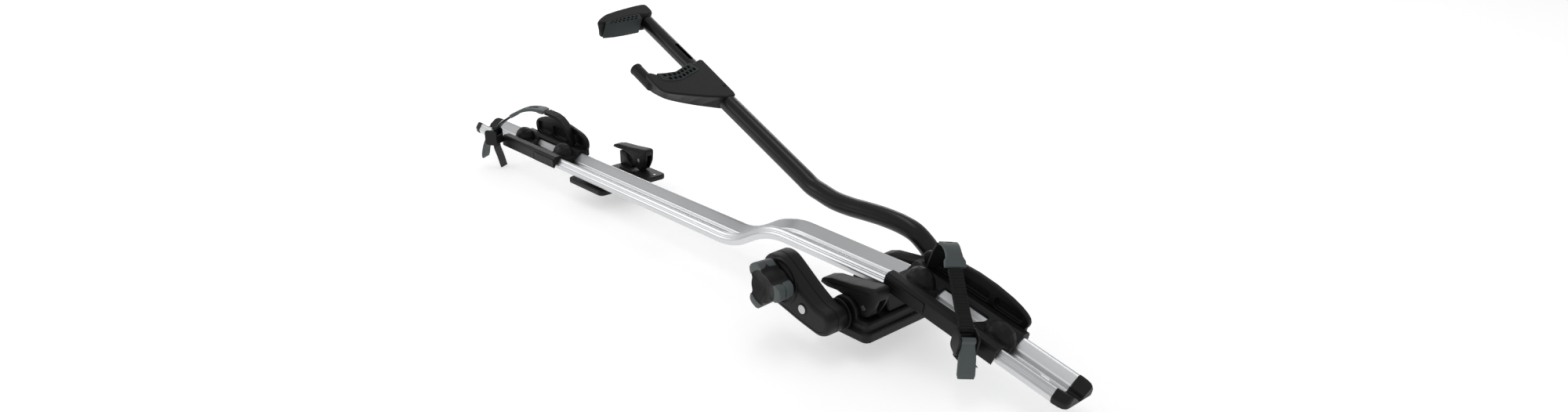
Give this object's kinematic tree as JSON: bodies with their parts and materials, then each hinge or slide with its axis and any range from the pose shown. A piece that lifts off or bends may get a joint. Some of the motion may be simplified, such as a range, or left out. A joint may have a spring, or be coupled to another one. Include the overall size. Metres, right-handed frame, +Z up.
{
  "type": "roof bicycle carrier",
  "caption": "Upright roof bike carrier: bent double-ridge rail on two feet, goose-neck arm with frame jaws worked by a knob, and two wheel holders with ratchet straps.",
  "frame": {"origin": "centre of the front foot's underside, on the roof bar", "axes": "+X towards the rail's nose (front), +Y to the arm's side, +Z up"},
  "size_m": [1.4458, 0.2787, 0.3579],
  "materials": {
    "satin_aluminium": "satin anodised",
    "black_plastic": "matt, lightly textured",
    "black_tube": "satin black powder coat",
    "black_rubber": "matt",
    "jaw_rubber": "matt, ribbed",
    "grey_plastic": "matt",
    "bright_steel": "zinc plated"
  },
  "bodies": {
    "carrier": {"front_bridge": "black_plastic", "front_end_cap": "black_plastic", "front_far_clamp_bolt": "bright_steel", "front_far_lever_pin": "bright_steel", "front_far_lever_yoke": "black_plastic", "front_foot_base": "black_plastic", "front_foot_pad": "black_rubber", "front_holder_buckle": "black_plastic", "front_holder_plate": "black_plastic", "front_holder_ratchet_strap": "black_plastic", "front_holder_strap_anchor": "black_rubber", "front_holder_strap_link": "grey_plastic", "front_holder_tray": "black_plastic", "front_holder_wing": "black_plastic", "front_near_clamp_bolt": "bright_steel", "front_near_lever_pin": "bright_steel", "front_near_lever_yoke": "black_plastic", "rail": "satin_aluminium", "rear_clamp_bolt": "bright_steel", "rear_end_cap": "black_plastic", "rear_foot_base": "black_plastic", "rear_foot_pad": "black_rubber", "rear_lever_pin": "bright_steel", "rear_lever_yoke": "black_plastic", "rear_rail_block": "black_plastic"},
    "arm": {"arm_tube": "black_tube", "arm_socket": "black_plastic", "pivot_shaft": "black_tube", "housing_body": "black_plastic", "housing_cover": "black_plastic", "fixed_jaw": "black_plastic", "fixed_jaw_pad": "jaw_rubber"},
    "knob": {"knob": "black_plastic", "knob_grip_1": "grey_plastic", "knob_grip_2": "grey_plastic", "knob_grip_3": "grey_plastic", "knob_spindle": "bright_steel", "cable_drum": "grey_plastic"},
    "lock": {"lock_cylinder": "bright_steel"},
    "jaw": {"slider_tube": "black_tube", "moving_jaw": "black_plastic", "moving_jaw_pad": "jaw_rubber"},
    "front_near_lever": {"front_near_lever": "black_plastic"},
    "front_far_lever": {"front_far_lever": "black_plastic"},
    "rear_lever": {"rear_lever": "black_plastic"},
    "front_buckle_lever": {"front_holder_buckle_lever": "grey_plastic"},
    "rear_buckle_lever": {"rear_holder_buckle_lever": "grey_plastic"},
    "rear_holder": {"rear_holder_buckle": "black_plastic", "rear_holder_plate": "black_plastic", "rear_holder_ratchet_strap": "black_plastic", "rear_holder_strap_anchor": "black_rubber", "rear_holder_strap_link": "grey_plastic", "rear_holder_tray": "black_plastic", "rear_holder_wing": "black_plastic"}
  },
  "joints": [
    {"name": "arm_fold", "type": "hinge", "parent": "carrier", "child": "arm", "pos_m": [0, 0, 0.03], "axis": [0, 1, 0], "range_deg": [-13, 65]},
    {"name": "jaw_slide", "type": "slide", "parent": "arm", "child": "jaw", "axis": [-0.91, 0, 0.4147], "range_m": [-0.09, 0]},
    {"name": "knob_turn", "type": "hinge", "parent": "arm", "child": "knob", "pos_m": [-0.07511, 0, 0.06533], "axis": [0, -1, 0], "range_deg": [-1085, 5]},
    {"name": "lock_turn", "type": "hinge", "parent": "arm", "child": "lock", "pos_m": [-0.03119, 0, 0.03872], "axis": [0, -1, 0], "range_deg": [0, 90]},
    {"name": "front_near_lever_swing", "type": "hinge", "parent": "carrier", "child": "front_near_lever", "pos_m": [0.028, -0.059, 0.043], "axis": [0, 1, 0], "range_deg": [0, 55]},
    {"name": "front_far_lever_swing", "type": "hinge", "parent": "carrier", "child": "front_far_lever", "pos_m": [0.028, 0.059, 0.043], "axis": [0, 1, 0], "range_deg": [0, 55]},
    {"name": "rear_lever_swing", "type": "hinge", "parent": "carrier", "child": "rear_lever", "pos_m": [-0.7005, 0.092, 0.0305], "axis": [0, 1, 0], "range_deg": [0, 55]},
    {"name": "front_buckle_lever_swing", "type": "hinge", "parent": "carrier", "child": "front_buckle_lever", "pos_m": [0.19513, -0.05767, 0.05519], "axis": [-0.5428, -0.831, 0.1213], "range_deg": [0, 100]},
    {"name": "rear_buckle_lever_swing", "type": "hinge", "parent": "rear_holder", "child": "rear_buckle_lever", "pos_m": [-0.99861, -0.05651, 0.046], "axis": [-0.4891, 0.8722, 0], "range_deg": [0, 100]},
    {"name": "rear_holder_slide", "type": "slide", "parent": "carrier", "child": "rear_holder", "axis": [1, 0, 0], "range_m": [-0.08, 0.27]}
  ],
  "couplings": [
    {"joint": "knob_turn", "follows": "jaw_slide", "rad_per_m": 209.44}
  ]
}
